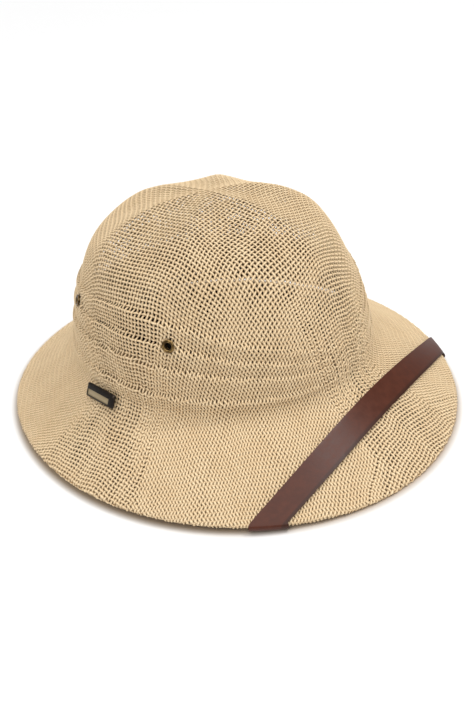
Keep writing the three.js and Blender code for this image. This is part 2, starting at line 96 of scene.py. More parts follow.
class Finish:
    def __init__(self, name, **constants):
        self.material = bpy.data.materials.new(name)
        self.material.use_nodes = True
        self.tree = self.material.node_tree
        self.shader = self.tree.nodes["Principled BSDF"]
        for socket, value in constants.items():
            self.shader.inputs[socket.replace("_", " ")].default_value = value

    def node(self, kind, settings=None, inputs=None, output=0):
        made = self.tree.nodes.new(kind)
        for name, value in (settings or {}).items():
            setattr(made, name, value)
        for name, value in (inputs or {}).items():
            self.feed(made.inputs[name], value)
        return Signal(self, made.outputs[output])

    def feed(self, socket, value):
        if isinstance(value, Signal):
            self.tree.links.new(value.socket, socket)
        else:
            socket.default_value = value

    def surface(self, **links):
        for name, value in links.items():
            self.feed(self.shader.inputs[name.replace("_", " ")], value)

    def places(self):
        return self.node("ShaderNodeTexCoord", output="Object")

    def map(self, name):
        return self.node("ShaderNodeUVMap", {"uv_map": name})

    def noise(self, where, scale, detail=3, roughness=0.55):
        inputs = {"Vector": where, "Scale": scale, "Detail": detail, "Roughness": roughness}
        return self.node("ShaderNodeTexNoise", None, inputs)

    def blendColor(self, share, one, two):
        return self.node("ShaderNodeMix", {"data_type": "RGBA"}, {"Factor": share, 6: one, 7: two}, 2)

    def bump(self, height, strength, distance):
        inputs = {"Height": height, "Strength": strength, "Distance": distance}
        return self.node("ShaderNodeBump", None, inputs)

    def sine(self, signal):
        return self.node("ShaderNodeMath", {"operation": "SINE"}, {0: signal})

    def size(self, signal):
        return self.node("ShaderNodeMath", {"operation": "ABSOLUTE"}, {0: signal})

    def vector(self, operation, one, two):
        return self.node("ShaderNodeVectorMath", {"operation": operation}, {0: one, 1: two})

    def length(self, vector):
        return self.node("ShaderNodeVectorMath", {"operation": "LENGTH"}, {0: vector}, "Value")

    def step(self, signal, low, high):
        settings = {"interpolation_type": "SMOOTHSTEP"}
        return self.node("ShaderNodeMapRange", settings, {"Value": signal, "From Min": low, "From Max": high})

    def part(self, vector, axis):
        return self.node("ShaderNodeSeparateXYZ", None, {0: vector}, axis)

    def attribute(self, name):
        return self.node("ShaderNodeAttribute", {"attribute_name": name}, None, "Fac")


# Studio: white floor with painted shade under the hat, wide light from above, a softbox whose reflection lies
# in the strap's middle
studio = {
    "floorSize": 12.0, "floorColor": (0.94, 0.94, 0.94, 1), "floorDrop": 0.0004,
    "floorRoughness": 0.9, "floorShine": 0.1,
    # painted shade under the hat, painted shadow near the brim's edge, and where each fades
    "paintedShadeUnderHat": (0.02, 0.017, 0.013, 1), "paintedShadowNearEdge": (0.4, 0.31, 0.22, 1), "paintedShadeHalf": (129.5, 151),
    "edgeFrom": 0.86, "edgeShadowFull": 0.98, "shadeFadeFrom": 1.005, "shadeFadeEnd": 1.06,
    "worldColor": (1, 1, 1, 1), "worldStrength": 0.3, "backdropStrength": 1.0,
    "sunPower": 2.55, "sunAngle": 80, "sunAt": (-0.25, -0.2, 1), "aimHeight": 0.06,
    "boxPower": 3.2, "boxSize": 0.2, "boxAt": (0.34, -0.49, 1.04),
}


def addLight(name, kind, power, at):
    lamp = bpy.data.lights.new(name, kind)
    lamp.energy = power
    holder = bpy.data.objects.new(name, lamp)
    holder.location = at
    aim = Vector((0, 0, studio["aimHeight"])) - Vector(at)
    holder.rotation_euler = aim.to_track_quat("-Z", "Y").to_euler()
    bpy.context.scene.collection.objects.link(holder)
    return lamp


def addStudio():
    bpy.ops.mesh.primitive_plane_add(size=studio["floorSize"], location=(0, 0, -studio["floorDrop"]))
    floor = bpy.context.object
    floor.name = "floor"
    finish = Finish("floorPaperWithPaintedShade", Roughness=studio["floorRoughness"], Specular_IOR_Level=studio["floorShine"])
    # painted shade on the floor: near black under the crown, a brown painted shadow near the brim's edge,
    # fading to white just outside it
    spread = [1 / (half * mm) for half in studio["paintedShadeHalf"]] + [0]
    away = finish.length(finish.vector("MULTIPLY", finish.places(), tuple(spread)))
    edge = finish.step(away, studio["edgeFrom"], studio["edgeShadowFull"])
    under = finish.blendColor(edge, studio["paintedShadeUnderHat"], studio["paintedShadowNearEdge"])
    clear = finish.step(away, studio["shadeFadeFrom"], studio["shadeFadeEnd"])
    finish.surface(Base_Color=finish.blendColor(clear, under, studio["floorColor"]))
    floor.data.materials.append(finish.material)
    world = bpy.data.worlds.new("studioWorld")
    world.use_nodes = True
    background = world.node_tree.nodes["Background"]
    background.inputs["Color"].default_value = studio["worldColor"]
    # the backdrop looks white but lights the hat less
    path = world.node_tree.nodes.new("ShaderNodeLightPath")
    strength = world.node_tree.nodes.new("ShaderNodeMapRange")
    strength.inputs["To Min"].default_value = studio["worldStrength"]
    strength.inputs["To Max"].default_value = studio["backdropStrength"]
    world.node_tree.links.new(path.outputs["Is Camera Ray"], strength.inputs["Value"])
    world.node_tree.links.new(strength.outputs["Result"], background.inputs["Strength"])
    bpy.context.scene.world = world
    sun = addLight("skyLight", "SUN", studio["sunPower"], studio["sunAt"])
    sun.angle = math.radians(studio["sunAngle"])
    box = addLight("softBox", "AREA", studio["boxPower"], studio["boxAt"])
    box.size = studio["boxSize"]
    bpy.context.scene.view_settings.view_transform = "Standard"


addStudio()
print("studio lit")


# Form of the hat, in mm, as the frame's solids have it
form = {
    "brimHalfLength": 152.8, "brimHalfWidth": 131.1, "crownHalfLength": 99.8, "crownHalfWidth": 89.1,
    "peakForward": 4.2, "standing": 0.17, "edgeFront": 1.0, "edgeSideLift": 4.0, "edgeFlat": 0.13,
    "creaseFront": 32.3, "creaseSide": 34.3, "creaseBack": 30.5, "brimSag": 0.1, "filletReach": 7.0,
    # share of the plan, rise above the crease, depth of the panels
    "crown": [(1, 0, 0), (0.97, 18, 0), (0.87, 48, -1), (0.73, 77.3, 2.2), (0.6, 86.7, 3.8),
              (0.46, 92.9, 3.3), (0.25, 97.9, 1.7), (0, 99.3, 0)],
    "crownSamples": 4001,
    "ridges": [0, 59, 121, 180], "ridgeRounding": 0.12,
    "pleatRises": [15, 33, 45.5, 58.5], "pleatFoot": 6, "pleatDepth": 2.4, "pleatStep": 0.14,
    "footLevel": 0.12, "footRaise": 1,
    "pleatLifts": [(0, 0.33), (28, 0.59), (59, 0.86), (90, 1.0), (121, 0.89), (150, 0.84), (180, 0.82)],
}


def ease(value):
    share = np.clip(value, 0, 1)
    return share * share * (3 - 2 * share)


def ovalRadius(azimuth, halfLength, halfWidth):
    along = np.where(np.cos(azimuth) > 0, halfLength - form["peakForward"], halfLength + form["peakForward"])
    return 1 / np.hypot(np.cos(azimuth) / along, np.sin(azimuth) / halfWidth)


def placeAt(azimuth, radius, height):  # azimuth from the front towards the wearer's right, which is -X
    back = -radius * np.cos(azimuth) - form["peakForward"]
    return np.stack([-radius * np.sin(azimuth), back, height + 0 * radius], -1)


def edgeHeight(azimuth):
    share = (abs(np.sin(azimuth)) - form["edgeFlat"]) / (1 - form["edgeFlat"])
    return form["edgeFront"] + form["edgeSideLift"] * ease(share)


def creaseHeight(azimuth):
    middle = np.where(np.cos(azimuth) > 0, form["creaseFront"], form["creaseBack"])
    return middle + (form["creaseSide"] - middle) * np.sin(azimuth) ** 2


def foldedDegrees(azimuth):
    return abs((np.degrees(azimuth) + 180) % 360 - 180)


def pleatRise(azimuth, pleat):  # whole numbers of pleat are the pleats' ridges
    lift = np.interp(foldedDegrees(azimuth), *np.transpose(form["pleatLifts"]))
    foot = form["pleatFoot"]
    rises = np.array([foot + 0 * lift] + [foot + (rise - foot) * lift for rise in form["pleatRises"]])
    below = np.clip(np.floor(pleat).astype(int), 0, len(rises) - 2)
    low = np.take_along_axis(rises, below[None], 0)[0]
    high = np.take_along_axis(rises, below[None] + 1, 0)[0]
    return low + (high - low) * (pleat - below)


def pleatRelief(pleat):  # leans out slowly up to each ridge and falls back just above it
    step, depth = form["pleatStep"], form["pleatDepth"]
    fromRidge = pleat - np.floor(pleat)
    start = np.where(pleat >= 1, step, 0.0)
    relief = np.where(pleat > len(form["pleatRises"]), 0, depth * (fromRidge - start) / (1 - start))
    return np.where((pleat >= 1) & (fromRidge < step), depth * (1 - fromRidge / step), relief)


def panelShare(azimuth):  # 0 on a crown ridge, 1 in the middle of a panel
    share = np.interp(foldedDegrees(azimuth), form["ridges"], range(len(form["ridges"]))) % 1
    return np.hypot(np.sin(np.pi * share), form["ridgeRounding"]) - form["ridgeRounding"]


def smoothThrough(knots, samples):  # curve through the knots, evenly spaced in its parameter
    ends = np.vstack([2 * knots[0] - knots[1], knots, 2 * knots[-1] - knots[-2]])
    along = np.linspace(0, 1, samples) * (len(knots) - 1)
    first = np.minimum(along.astype(int), len(knots) - 2)
    share = (along - first)[:, None]
    before, start, end, after = (ends[first + k] for k in range(4))
    pairs = ((before, start), (start, end), (end, after))
    early, gap, late = (np.linalg.norm(two - one, axis=1)[:, None] ** 0.5 for one, two in pairs)
    leave = ((start - before) / early - (end - before) / (early + gap) + (end - start) / gap) * gap
    arrive = ((end - start) / gap - (after - start) / (gap + late) + (after - end) / late) * gap
    return (start + leave * share + (3 * end - 3 * start - 2 * leave - arrive) * share ** 2
            + (2 * start - 2 * end + leave + arrive) * share ** 3)


crownAlong = np.linspace(0, 1, form["crownSamples"])
crownCurve = smoothThrough(np.array(form["crown"], float), len(crownAlong))
crownSlope = np.gradient(crownCurve, crownAlong, axis=0)


def alongAtRise(rise):
    return np.interp(rise, crownCurve[:, 1], crownAlong)


def crownPoint(azimuth, along, relief=0.0):
    share, rise, dip = (np.interp(along, crownAlong, crownCurve[:, k]) for k in range(3))
    shareSlope, riseSlope = (np.interp(along, crownAlong, crownSlope[:, k]) for k in range(2))
    plan = ovalRadius(azimuth, form["crownHalfLength"], form["crownHalfWidth"])
    base = creaseHeight(azimuth)
    lean = base + (form["creaseFront"] - base) * rise / form["crown"][-1][1]
    out, up = riseSlope, -shareSlope * plan
    size = np.hypot(out, up)
    shift = relief - dip * panelShare(azimuth)
    radius = np.maximum(share * plan + out / size * shift, 0)
    return placeAt(azimuth, radius, lean + rise + up / size * shift)


def brimPoint(azimuth, along):
    inner = ovalRadius(azimuth, form["crownHalfLength"], form["crownHalfWidth"])
    outer = ovalRadius(azimuth, form["brimHalfLength"], form["brimHalfWidth"])
    drop = along + form["brimSag"] * along * (1 - along)
    base = creaseHeight(azimuth)
    return placeAt(azimuth, inner + (outer - inner) * along, base + (edgeHeight(azimuth) - base) * drop)


# level is -1 at the edge, 0 in the crease, 1 to 4 on the pleats and 5 at the peak
def hatPoint(azimuth, level, pleated=True):
    length = np.linalg.norm(brimPoint(azimuth, 0 * azimuth) - brimPoint(azimuth, 1 + 0 * azimuth), axis=-1)
    reach = form["filletReach"] / length
    foot, footLevel = form["pleatFoot"] + form["footRaise"], form["footLevel"]
    pleats, step = len(form["pleatRises"]), form["pleatStep"]
    point = brimPoint(azimuth, np.clip(-level, 0, 1))
    share = np.clip((level + reach) / (footLevel + reach), 0, 1)[..., None]
    bend = ((1 - share) ** 2 * brimPoint(azimuth, reach)
            + 2 * share * (1 - share) * brimPoint(azimuth, 0 * azimuth)
            + share ** 2 * crownPoint(azimuth, alongAtRise(foot + 0 * azimuth)))
    point = np.where((level >= -reach)[..., None], bend, point)
    low = np.clip((level - footLevel) / (1 - footLevel), 0, 1)
    pleat = np.clip(level, 1, pleats + step)
    firstRise = pleatRise(azimuth, 1 + 0 * azimuth)
    rise = np.where(level < 1, foot + (firstRise - foot) * low, pleatRise(azimuth, pleat))
    lift = np.interp(foldedDegrees(azimuth), *np.transpose(form["pleatLifts"]))
    relief = lift * np.where(level < 1, form["pleatDepth"] * low, pleatRelief(pleat)) if pleated else 0.0
    point = np.where((level >= footLevel)[..., None], crownPoint(azimuth, alongAtRise(rise), relief), point)
    start = alongAtRise(pleatRise(azimuth, pleats + step + 0 * azimuth))
    along = start + (1 - start) * np.clip((level - pleats - step) / (1 - step), 0, 1)
    point = np.where((level > pleats + step)[..., None], crownPoint(azimuth, along), point)
    return point + np.array([0, 0, form["standing"]])


# The hat unrolled: rows of azimuths by distance down from the peak along the smooth surface.
# Places on it are flat: x towards the wearer's left and y to the back, at that distance from the peak.
chart = {
    "azimuths": 361, "levels": (500, 900, 400), "step": 0.5, "beyond": 16.0,
    "turn": 0.8, "hemLift": 0.35, "hemLiftOver": 9.0,
}


def unrollHat():
    azimuths = np.linspace(-np.pi, np.pi, chart["azimuths"])
    pleats = len(form["pleatRises"])
    stops = [pleats + 1, pleats + form["pleatStep"], form["footLevel"], -1]
    spans = [np.linspace(*span) for span in zip(stops, stops[1:], chart["levels"])]
    levels = np.concatenate([spans[0], spans[1][1:], spans[2][1:]])
    turns, heights = np.meshgrid(azimuths, levels, indexing="ij")
    plain, pleated = hatPoint(turns, heights, False), hatPoint(turns, heights)
    steps = np.linalg.norm(np.diff(plain, axis=1), axis=-1)
    distance = np.concatenate([np.zeros((len(azimuths), 1)), np.cumsum(steps, 1)], 1)
    edge = distance[:, -1]
    stations = np.arange(0, edge.max() + chart["beyond"] + 1, chart["step"])
    cloth = np.zeros((len(azimuths), len(stations), 3))
    hat = np.zeros_like(cloth)
    for row in range(len(azimuths)):
        outward = plain[row, -1] - plain[row, -9]
        outward /= np.linalg.norm(outward)
        side = np.array([-math.cos(azimuths[row]), math.sin(azimuths[row]), 0])
        up = np.cross(outward, side)
        up *= np.sign(up[2])
        beyond = stations - edge[row]
        turned = np.clip(beyond / chart["turn"], 0, np.pi)
        under = np.maximum(beyond - np.pi * chart["turn"], 0)
        for axis in range(3):
            cloth[row, :, axis] = np.interp(stations, distance[row], plain[row, :, axis])
            hat[row, :, axis] = np.interp(stations, distance[row], pleated[row, :, axis])
        lift = chart["hemLift"] * ease(1 + beyond / chart["hemLiftOver"])
        cloth[row] += np.maximum(beyond, 0)[:, None] * outward
        hat[row] += (chart["turn"] * np.sin(turned) - under)[:, None] * outward
        hat[row] += (lift - chart["turn"] * (1 - np.cos(turned)))[:, None] * up
    return azimuths, edge, cloth, hat


azimuths, edgeDistance, clothSheet, hatSheet = unrollHat()


def onSheet(sheet, places):
    azimuth = np.arctan2(-places[..., 0], -places[..., 1])
    distance = np.hypot(places[..., 0], places[..., 1])
    across = np.mod((azimuth + np.pi) / (2 * np.pi) * (len(azimuths) - 1), len(azimuths) - 1)
    down = np.clip(distance / chart["step"], 0, sheet.shape[1] - 1.001)
    column, row = across.astype(int), down.astype(int)
    columnShare, rowShare = (across - column)[..., None], (down - row)[..., None]
    left = sheet[column, row] * (1 - rowShare) + sheet[column, row + 1] * rowShare
    right = sheet[column + 1, row] * (1 - rowShare) + sheet[column + 1, row + 1] * rowShare
    return left * (1 - columnShare) + right * columnShare


def pastEdge(places):  # mm beyond the brim's edge
    azimuth = np.arctan2(-places[..., 0], -places[..., 1])
    return np.hypot(places[..., 0], places[..., 1]) - np.interp(azimuth, azimuths, edgeDistance)


def slopesOn(sheet, places, step=0.1):
    alongX = (onSheet(sheet, places + [step, 0]) - onSheet(sheet, places - [step, 0])) / (2 * step)
    alongY = (onSheet(sheet, places + [0, step]) - onSheet(sheet, places - [0, step])) / (2 * step)
    return alongX, alongY


# Cloth of straight yarns laid over the hat from its peak, square at the peak and sheared towards the corners
weave = {
    "pitch": 2.3, "hem": 8.5, "reach": 122, "leastAngle": 52, "settleSteps": 240, "keepSpeed": 0.9,
    "sideHold": 0.3, "shearHold": 0.4, "layRounds": 6, "layMiss": 0.05, "layProbe": 0.02, "settleProbe": 0.05,
    "spare": 3, "yarnWidth": 1.5, "widestShare": 0.76, "yarnThickness": 0.74, "waves": 0.35,
    "brimWider": 0.16, "brimShare": 0.12, "brimStart": -66, "brimBlend": 16,
    "crossingWidth": 1.05, "betweenWidth": 0.9,
    "widthSpread": 0.07, "spreadLine": 0.6, "spreadLength": 24,
    "strayMost": 0.06, "strayLine": 0.5, "strayLength": 30, "seed": 7,
    "driftWide": 0.8, "driftWideLength": 50, "driftFine": 0.06, "driftFineLength": 14,
    "looseLength": 16, "looseShare": 0.08,
}


def layQuarter(sideX, sideY):
    count, pitch = weave["reach"], weave["pitch"]
    places = np.full((count, count, 2), np.nan)
    steps = np.arange(count) * pitch
    places[:, 0] = np.stack([sideX * steps, 0 * steps], -1)
    places[0, :] = np.stack([0 * steps, sideY * steps], -1)
    for diagonal in range(2, 2 * count - 1):
        i = np.arange(max(1, diagonal - count + 1), min(count, diagonal))
        j = diagonal - i
        known = ~np.isnan(places[i - 1, j, 0] + places[i, j - 1, 0] + places[i - 1, j - 1, 0])
        i, j = i[known], j[known]
        if len(i) == 0:
            continue
        one, two, corner = places[i - 1, j], places[i, j - 1], places[i - 1, j - 1]
        pointOne, pointTwo = onSheet(clothSheet, one), onSheet(clothSheet, two)
        guess = one + two - corner
        for _ in range(weave["layRounds"]):
            point = onSheet(clothSheet, guess)
            alongX, alongY = slopesOn(clothSheet, guess, weave["layProbe"])
            missOne = ((point - pointOne) ** 2).sum(-1) - pitch ** 2
            missTwo = ((point - pointTwo) ** 2).sum(-1) - pitch ** 2
            a, b = (2 * ((point - pointOne) * slope).sum(-1) for slope in (alongX, alongY))
            c, d = (2 * ((point - pointTwo) * slope).sum(-1) for slope in (alongX, alongY))
            size = a * d - b * c
            size = np.where(abs(size) < 1e-3, 1e-3, size)
            move = np.stack([(missOne * d - missTwo * b) / size, (a * missTwo - c * missOne) / size], -1)
            move *= np.minimum(1, 1 / np.maximum(np.linalg.norm(move, axis=-1, keepdims=True), 1e-9))
            guess = guess - move
        good = (abs(missOne) < weave["layMiss"]) & (abs(missTwo) < weave["layMiss"])
        good &= pastEdge(guess) < weave["hem"] + weave["spare"]
        places[i[good], j[good]] = guess[good]
    return places


def settleCloth():
    count = weave["reach"]
    middle = count - 1
    places = np.full((count, 2 * count - 1, 2), np.nan)
    places[:, middle:] = layQuarter(1, 1)
    places[:, middle::-1] = layQuarter(1, -1)
    live = ~np.isnan(places[..., 0])
    live &= np.nan_to_num(pastEdge(np.nan_to_num(places)), nan=1e9) < weave["hem"] + weave["spare"]
    number = np.full(live.shape, -1)
    number[live] = np.arange(live.sum())
    spots = places[live]

    def neighbours(i, j):
        one = number[: count - i, max(0, -j): number.shape[1] - max(0, j)]
        two = number[i:, max(0, j): number.shape[1] - max(0, -j)]
        both = (one >= 0) & (two >= 0)
        return one[both], two[both]

    pitch, least = weave["pitch"], math.radians(weave["leastAngle"]) / 2
    shortest, longest = 2 * pitch * math.sin(least), 2 * pitch * math.cos(least)
    ties = [(*neighbours(*pair), pitch, pitch, weave["sideHold"]) for pair in ((1, 0), (0, 1))]
    ties += [(*neighbours(*pair), shortest, longest, weave["shearHold"]) for pair in ((1, 1), (1, -1))]
    onX, onY = abs(spots[:, 1]) < 1e-9, abs(spots[:, 0]) < 1e-9
    speed = np.zeros_like(spots)
    for _ in range(weave["settleSteps"]):
        points = onSheet(clothSheet, spots)
        pull = np.zeros_like(points)
        for one, two, low, high, hold in ties:
            apart = points[two] - points[one]
            length = np.linalg.norm(apart, axis=1)
            change = apart * ((length - np.clip(length, low, high)) / length * hold / 2)[:, None]
            for axis in range(3):
                gain, loss = (np.bincount(ends, change[:, axis], len(spots)) for ends in (one, two))
                pull[:, axis] += gain - loss
        alongX, alongY = slopesOn(clothSheet, spots, weave["settleProbe"])
        a, b, c = (alongX ** 2).sum(-1), (alongX * alongY).sum(-1), (alongY ** 2).sum(-1)
        pullX, pullY = (alongX * pull).sum(-1), (alongY * pull).sum(-1)
        move = np.stack([pullX * c - pullY * b, pullY * a - pullX * b], -1) / (a * c - b * b)[:, None]
        move[onX, 1] = 0
        move[onY, 0] = 0
        speed = weave["keepSpeed"] * speed + move
        spots = spots + speed
    half = np.full(places.shape, np.nan)
    half[live] = spots
    whole = np.full((2 * count - 1, 2 * count - 1, 2), np.nan)
    whole[middle:] = half
    whole[: middle + 1] = half[::-1] * [-1, 1]
    return whole


class SmoothField:  # drifts between about -1 and 1 over the flat cloth, in waves of about this length
    def __init__(self, random, length, waves=14):
        turn = random.uniform(0, 2 * np.pi, waves)
        size = random.uniform(0.7, 1.6, waves) * 2 * np.pi / length
        self.waves = np.stack([np.cos(turn) * size, np.sin(turn) * size], -1)
        self.starts = random.uniform(0, 2 * np.pi, waves)

    def at(self, places):
        return np.cos(places @ self.waves.T + self.starts).sum(-1) / math.sqrt(len(self.starts))


def driftCloth(cloth, random):
    drifted = cloth.copy()
    for most, length in (("driftWide", "driftWideLength"), ("driftFine", "driftFineLength")):
        for axis in range(2):
            drifted[..., axis] += weave[most] * SmoothField(random, weave[length]).at(cloth)
    return drifted


cloth = driftCloth(settleCloth(), np.random.default_rng(weave["seed"]))
print("cloth settled over the hat:", int((pastEdge(np.nan_to_num(cloth, nan=1e6)) < 0).sum()), "crossings")


# light and shade are the straw's lit tone and its painted-shade tone; brown is a warmer tone for the random
# variation
straw = {
    "light": (0.93, 0.74, 0.48, 1), "shade": (0.42, 0.27, 0.13, 1), "brown": (0.72, 0.50, 0.27, 1),
    "roughness": 0.6, "toneShare": 0.3, "patchShare": 0.3, "patchScale": 55, "fibreScale": 1400,
    "twistLength": 1.1, "twistHeight": 0.00009, "twistShare": 0.5, "fibreShare": 0.5, "bump": 0.6,
    "toneMiddle": 0.5, "toneSpread": 0.22,
}


def strawFinish():
    finish = Finish("pressedStraw", Roughness=straw["roughness"], Specular_IOR_Level=0.3)
    fibre = finish.noise(finish.places(), straw["fibreScale"])
    patches = finish.noise(finish.places(), straw["patchScale"], 2)
    # painted shade: the strands' painted shade, with fibre noise, picks between the lit and the shaded straw
    # tone
    light = finish.attribute("paintedYarnShade") + (fibre - 0.5) * straw["fibreShare"]
    color = finish.blendColor(light, straw["shade"], straw["light"])
    warm = finish.attribute("yarnTone") * straw["toneShare"] + (patches - 0.5) * straw["patchShare"] * 2
    brown = finish.blendColor(light, straw["shade"], straw["brown"])
    finish.surface(Base_Color=finish.blendColor(warm, color, brown))
    run = finish.map("yarnRun")
    turn = finish.part(run, 0) * (2 * math.pi / straw["twistLength"]) + finish.part(run, 1) * (2 * math.pi)
    height = finish.sine(turn) * straw["twistShare"] + fibre
    finish.surface(Normal=finish.bump(height, straw["bump"], straw["twistHeight"]))
    return finish.material


# Frames of the CAD's small parts, read from their meshes in mm
def nodePoints(node):
    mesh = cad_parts[node].data
    points = np.empty(3 * len(mesh.vertices))
    mesh.vertices.foreach_get("co", points)
    return points.reshape(-1, 3) / mm


def eyeletFrame(node):  # middle of the straw's wall under the eyelet, and the way out of it
    points = nodePoints(node)
    middle = points.mean(0)
    outwards = np.linalg.eigh(np.cov((points - middle).T))[1][:, 0]
    outwards *= np.sign(outwards @ (middle * [1, 1, 0]))
    heights = (points - middle) @ outwards
    return middle + outwards * (heights.max() - eyelet["topHeight"]), outwards


eyelet = {
    "nodes": ["eyelet_right_side", "eyelet_right_rear", "eyelet_left_side", "eyelet_left_rear"],
    "topHeight": 1.9, "strawClear": 2.7, "pressedReach": 7.5, "pressedFull": 4.6, "segments": 40,
    # radius and height above the middle of the straw, from the barrel's inner end up, over and under
    "profile": [(1.9, -1.55), (1.9, 1.3), (2.0, 1.62), (2.25, 1.84), (2.65, 1.9), (3.05, 1.86), (3.4, 1.72),
                (3.62, 1.5), (3.7, 1.28), (3.62, 1.2), (2.4, 1.2), (2.3, 1.1), (2.3, -1.15), (2.5, -1.22),
                (3.1, -1.22), (3.28, -1.32), (3.25, -1.5), (3.0, -1.6), (2.2, -1.62)],
}
eyeletFrames = [eyeletFrame(node) for node in eyelet["nodes"]]


# Yarns: each is a closed four-sided strand that weaves over and under its neighbours
def smoothNoise(random, count, spacing):  # values about -1 to 1 that drift along a yarn
    knots = random.uniform(-1, 1, int(count / spacing) + 3)
    return np.interp(np.arange(count) / spacing + random.uniform(0, 1), np.arange(len(knots)), knots)


def yarnShape(places, over, room, random, loose):
    count = len(places)
    halves = (places[1:] + places[:-1]) / 2
    halves[1:-1] = (9 * (places[1:-2] + places[2:-1]) - places[:-3] - places[3:]) / 16
    path = np.empty((2 * count - 1, 2))
    path[::2], path[1::2] = places, halves
    wave = np.zeros(len(path))
    wave[::2] = np.where(over, 1, -1)
    room = np.interp(np.arange(len(path)), np.arange(0, len(path), 2), room)
    spread = weave["widthSpread"] * (random.normal() * weave["spreadLine"]
                                    + smoothNoise(random, len(path), weave["spreadLength"]))
    base = weave["yarnWidth"] * (1 + spread + weave["looseShare"] * loose.at(path))
    brim = ease((pastEdge(path) - weave["brimStart"]) / weave["brimBlend"])  # the brim is woven closer
    widest = weave["widestShare"] + weave["brimShare"] * brim
    width = np.minimum(base * (1 + weave["brimWider"] * brim), room * widest)
    width[::2] *= weave["crossingWidth"]
    width[1::2] *= weave["betweenWidth"]
    wander = weave["strayLine"] * random.normal() + smoothNoise(random, len(path), weave["strayLength"])
    stray = weave["strayMost"] * wander * room / weave["pitch"]
    inside = pastEdge(path) < weave["hem"]
    if inside.sum() < 4:
        return []
    keep = slice(np.argmax(inside), len(path) - np.argmax(inside[::-1]))
    path, wave, width, stray = path[keep], wave[keep], width[keep], stray[keep]
    points = onSheet(hatSheet, path)
    alongX, alongY = slopesOn(hatSheet, path)
    normal = np.cross(alongX, alongY)
    normal /= np.linalg.norm(normal, axis=1)[:, None]
    clear = np.ones(len(points), bool)
    for middle, outwards in eyeletFrames:  # the straw is pressed flat under each eyelet, and open inside it
        away = np.linalg.norm(points - middle, axis=1)
        near = (eyelet["pressedReach"] - away) / (eyelet["pressedReach"] - eyelet["pressedFull"])
        flat = ease(near)[:, None]
        points = points - outwards * ((points - middle) @ outwards)[:, None] * flat
        normal = normal + (outwards - normal) * flat
        clear &= away > eyelet["strawClear"]
    along = np.gradient(points, axis=0)
    side = np.cross(normal, along)
    side /= np.linalg.norm(side, axis=1)[:, None]
    points = points + normal * (wave * weave["waves"])[:, None] + side * stray[:, None]
    travel = np.concatenate([[0], np.cumsum(np.linalg.norm(np.diff(points, axis=0), axis=1))])
    runs = []
    edges = np.flatnonzero(np.diff(np.concatenate([[0], clear.astype(int), [0]])))
    for start, stop in zip(edges[::2], edges[1::2]):
        if stop - start > 2:
            part = slice(start, stop)
            runs.append((points[part], normal[part], side[part], width[part], wave[part], travel[part]))
    return runs


# Painted shade on the strands: lightest on top where a yarn crosses over, darker between crossings and where
# it dips under, darker on its sides and darkest on its underside
paintedShades = {"over": 1.0, "between": 0.72, "under": 0.4, "side": 0.3, "sideWave": 0.12, "below": 0.12}
# Layout of the strands in their map: margins round each column and row, and the size of their ends
layout = {"side": 0.06, "width": 0.88, "foot": 0.01, "height": 0.98, "tip": 0.4}


def strandMesh(runs):
    points, faces, columns, travels, tonesAndPaintedShades = [], [], [], [], []
    longest = max(len(run[0]) for run in runs)
    thick = weave["yarnThickness"] / 2
    corners = np.arange(4)
    first = 0
    for index, (middle, normal, side, width, wave, travel) in enumerate(runs):
        half = width[:, None] / 2
        ring = np.stack([middle - normal * thick, middle + side * half,
                         middle + normal * thick, middle - side * half], 1)
        count = len(middle)
        points.append(ring.reshape(-1, 3))
        # painted shade for the ring's corners: underside, side, top, side
        crest = np.interp(wave, [-1, 0, 1], [paintedShades["under"], paintedShades["between"], paintedShades["over"]])
        side = paintedShades["side"] + paintedShades["sideWave"] * wave
        tonesAndPaintedShades.append(np.stack([paintedShades["below"] + 0 * wave, side, crest, side], 1).ravel())
        here = first + 4 * np.arange(count - 1)[:, None] + corners
        after = first + 4 * np.arange(count - 1)[:, None] + (corners + 1) % 4
        quads = np.stack([here, after, after + 4, here + 4], -1).reshape(-1, 4)
        ends = np.array([[first + 3, first + 2, first + 1, first], first + 4 * (count - 1) + corners])
        faces.append(np.concatenate([quads, ends]))
        left = (index + layout["side"] + layout["width"] * corners / 4) / len(runs)
        right = (index + layout["side"] + layout["width"] * (corners + 1) / 4) / len(runs)
        low = (layout["foot"] + layout["height"] * np.arange(count - 1) / longest)[:, None]
        high = (layout["foot"] + layout["height"] * (np.arange(count - 1) + 1) / longest)[:, None]
        shape = (count - 1, 4, 4)
        across = np.broadcast_to(np.stack([left, right, right, left], -1), shape)
        up = np.broadcast_to(np.stack([low, low, high, high], -1), shape)
        tip = layout["tip"] / longest
        cap = np.array([[left[0], 0], [right[3], 0], [right[3], tip], [left[0], tip]])
        farCap = cap + [0, high[-1, 0] + tip]
        columns += [np.stack([across, up], -1).reshape(-1, 4, 2), np.stack([cap, farCap])]
        around = np.broadcast_to(np.stack([corners, corners + 1, corners + 1, corners], -1) / 4, shape)
        start, stop = travel[:-1, None], travel[1:, None]
        run = np.broadcast_to(np.stack([start, start, stop, stop], -1), shape)
        travels += [np.stack([run, around], -1).reshape(-1, 4, 2), np.zeros((2, 4, 2))]
        first += 4 * count
    return tuple(np.concatenate(part) for part in (points, faces, columns, travels, tonesAndPaintedShades))


